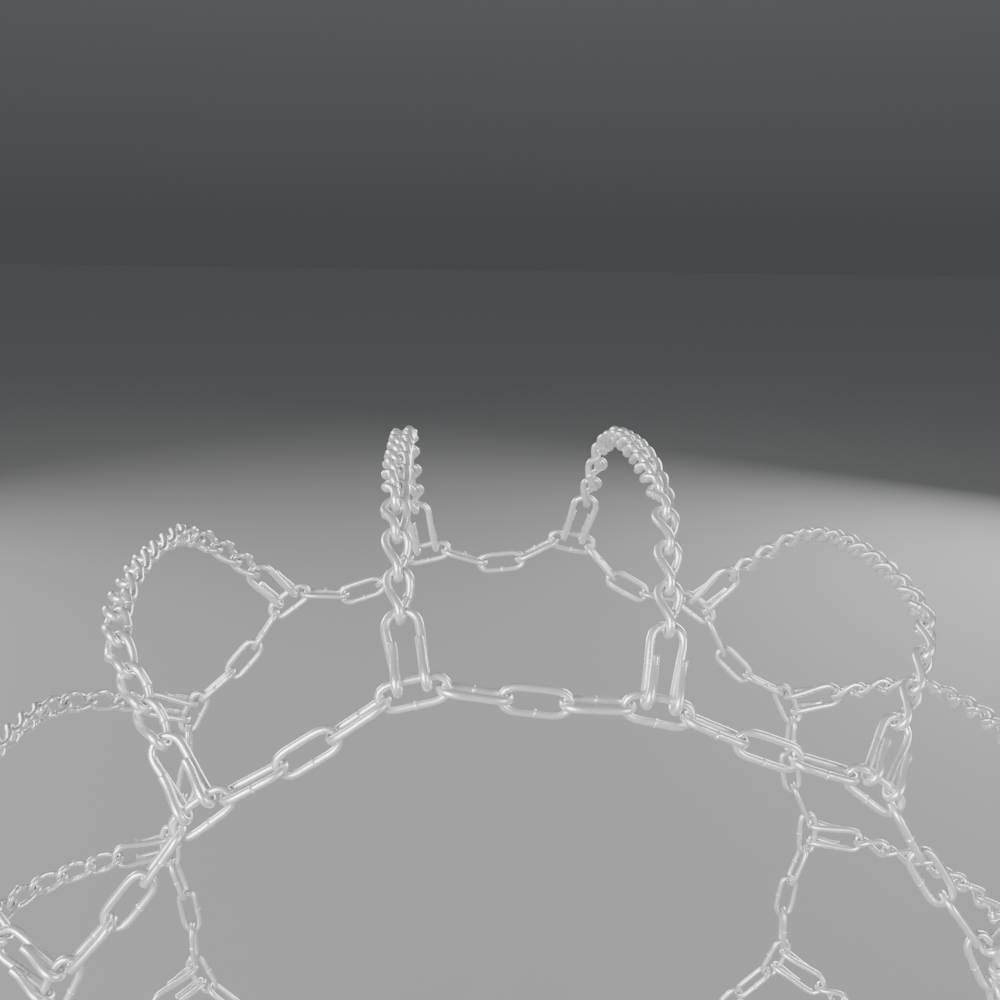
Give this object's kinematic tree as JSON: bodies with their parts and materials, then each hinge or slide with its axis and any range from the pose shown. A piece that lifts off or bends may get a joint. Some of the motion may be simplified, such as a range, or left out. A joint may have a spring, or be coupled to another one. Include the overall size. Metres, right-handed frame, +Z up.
{
  "type": "tire snow chain",
  "caption": "Ladder-pattern tyre snow chain: twisted-link cross chains hooked between an outer and an inner side chain, each closed by a cranked lever.",
  "frame": {"origin": "centre of the wheel that the chain is fitted to, midway between the side chains", "axes": "+Y along the axle towards the vehicle (the outer side chain is on -Y), +Z up, the fasteners at the bottom"},
  "size_m": [0.8732, 0.42, 0.8547],
  "materials": {
    "cross_chain_steel": "bright zinc plating, hardened round wire, small weld collars",
    "side_chain_steel": "bright zinc plating, round wire with a welded joint",
    "hook_steel": "bright zinc plating, bent wire with cut ends",
    "fastener_steel": "zinc plating over stamped plate and turned pin"
  },
  "bodies": {
    "side_chains": {"outer_hook_01": "hook_steel", "inner_hook_01": "hook_steel", "outer_hook_02": "hook_steel", "inner_hook_02": "hook_steel", "outer_hook_03": "hook_steel", "inner_hook_03": "hook_steel", "outer_hook_04": "hook_steel", "inner_hook_04": "hook_steel", "outer_hook_05": "hook_steel", "inner_hook_05": "hook_steel", "outer_hook_06": "hook_steel", "inner_hook_06": "hook_steel", "outer_hook_07": "hook_steel", "inner_hook_07": "hook_steel", "outer_hook_08": "hook_steel", "inner_hook_08": "hook_steel", "outer_hook_09": "hook_steel", "inner_hook_09": "hook_steel", "outer_hook_10": "hook_steel", "inner_hook_10": "hook_steel", "outer_hook_11": "hook_steel", "inner_hook_11": "hook_steel", "outer_hook_12": "hook_steel", "inner_hook_12": "hook_steel", "outer_hook_13": "hook_steel", "inner_hook_13": "hook_steel", "outer_hook_14": "hook_steel", "inner_hook_14": "hook_steel", "outer_side_chain": "side_chain_steel", "outer_clevis": "fastener_steel", "outer_clevis_pin": "fastener_steel", "inner_side_chain": "side_chain_steel", "inner_clevis": "fastener_steel", "inner_clevis_pin": "fastener_steel"},
    "cross_chain_01": {"cross_chain_01": "cross_chain_steel"},
    "cross_chain_02": {"cross_chain_02": "cross_chain_steel"},
    "cross_chain_03": {"cross_chain_03": "cross_chain_steel"},
    "cross_chain_04": {"cross_chain_04": "cross_chain_steel"},
    "cross_chain_05": {"cross_chain_05": "cross_chain_steel"},
    "cross_chain_06": {"cross_chain_06": "cross_chain_steel"},
    "cross_chain_07": {"cross_chain_07": "cross_chain_steel"},
    "cross_chain_08": {"cross_chain_08": "cross_chain_steel"},
    "cross_chain_09": {"cross_chain_09": "cross_chain_steel"},
    "cross_chain_10": {"cross_chain_10": "cross_chain_steel"},
    "cross_chain_11": {"cross_chain_11": "cross_chain_steel"},
    "cross_chain_12": {"cross_chain_12": "cross_chain_steel"},
    "cross_chain_13": {"cross_chain_13": "cross_chain_steel"},
    "cross_chain_14": {"cross_chain_14": "cross_chain_steel"},
    "outer_lever": {"outer_lever": "fastener_steel"},
    "inner_lever": {"inner_lever": "fastener_steel"}
  },
  "joints": [
    {"name": "cross_chain_01_shift", "type": "hinge", "parent": "side_chains", "child": "cross_chain_01", "pos_m": [-0.07662, 0, -0.3413], "axis": [0, 1, 0], "range_deg": [-10, 10]},
    {"name": "cross_chain_02_shift", "type": "hinge", "parent": "side_chains", "child": "cross_chain_02", "pos_m": [-0.21805, 0.00185, -0.27351], "axis": [0.0082, 0.9999, 0.0103], "range_deg": [-7, 13]},
    {"name": "cross_chain_03_shift", "type": "hinge", "parent": "side_chains", "child": "cross_chain_03", "pos_m": [-0.31586, -0.00123, -0.1503], "axis": [-0.0079, 1, -0.0038], "range_deg": [-14, 6]},
    {"name": "cross_chain_04_shift", "type": "hinge", "parent": "side_chains", "child": "cross_chain_04", "pos_m": [-0.34978, 0.00247, 0.00291], "axis": [0.0176, 0.9998, -0.0001], "range_deg": [-10, 10]},
    {"name": "cross_chain_05_shift", "type": "hinge", "parent": "side_chains", "child": "cross_chain_05", "pos_m": [-0.31351, 0, 0.15514], "axis": [0, 1, 0], "range_deg": [-6, 14]},
    {"name": "cross_chain_06_shift", "type": "hinge", "parent": "side_chains", "child": "cross_chain_06", "pos_m": [-0.21393, 0.00123, 0.27675], "axis": [0.0054, 1, -0.007], "range_deg": [-8, 12]},
    {"name": "cross_chain_07_shift", "type": "hinge", "parent": "side_chains", "child": "cross_chain_07", "pos_m": [-0.07622, 0.00802, 0.34139], "axis": [0.0124, 0.9984, -0.0557], "range_deg": [-18, 2]},
    {"name": "cross_chain_08_shift", "type": "hinge", "parent": "side_chains", "child": "cross_chain_08", "pos_m": [0.07572, 0.00216, 0.3415], "axis": [-0.0033, 0.9999, -0.015], "range_deg": [-3, 17]},
    {"name": "cross_chain_09_shift", "type": "hinge", "parent": "side_chains", "child": "cross_chain_09", "pos_m": [0.21434, 0.00648, 0.27643], "axis": [-0.0283, 0.9989, -0.0364], "range_deg": [-12, 8]},
    {"name": "cross_chain_10_shift", "type": "hinge", "parent": "side_chains", "child": "cross_chain_10", "pos_m": [0.31207, 0.00062, 0.15801], "axis": [-0.0039, 1, -0.002], "range_deg": [-8, 12]},
    {"name": "cross_chain_11_shift", "type": "hinge", "parent": "side_chains", "child": "cross_chain_11", "pos_m": [0.34973, 0.00309, 0.00674], "axis": [-0.022, 0.9998, -0.0004], "range_deg": [-14, 6]},
    {"name": "cross_chain_12_shift", "type": "hinge", "parent": "side_chains", "child": "cross_chain_12", "pos_m": [0.31774, -0.00062, -0.14627], "axis": [0.004, 1, -0.0018], "range_deg": [-7, 13]},
    {"name": "cross_chain_13_shift", "type": "hinge", "parent": "side_chains", "child": "cross_chain_13", "pos_m": [0.2217, 0.00185, -0.27057], "axis": [-0.0084, 0.9999, 0.0102], "range_deg": [-10, 10]},
    {"name": "cross_chain_14_shift", "type": "hinge", "parent": "side_chains", "child": "cross_chain_14", "pos_m": [0.08118, 0, -0.34025], "axis": [0, 1, 0], "range_deg": [-13, 7]},
    {"name": "outer_lever_hinge", "type": "hinge", "parent": "side_chains", "child": "outer_lever", "pos_m": [0.01936, -0.2, -0.30347], "axis": [0, -1, 0], "range_deg": [0, 110]},
    {"name": "inner_lever_hinge", "type": "hinge", "parent": "side_chains", "child": "inner_lever", "pos_m": [0.01936, 0.2, -0.30347], "axis": [0, -1, 0], "range_deg": [0, 110]}
  ]
}
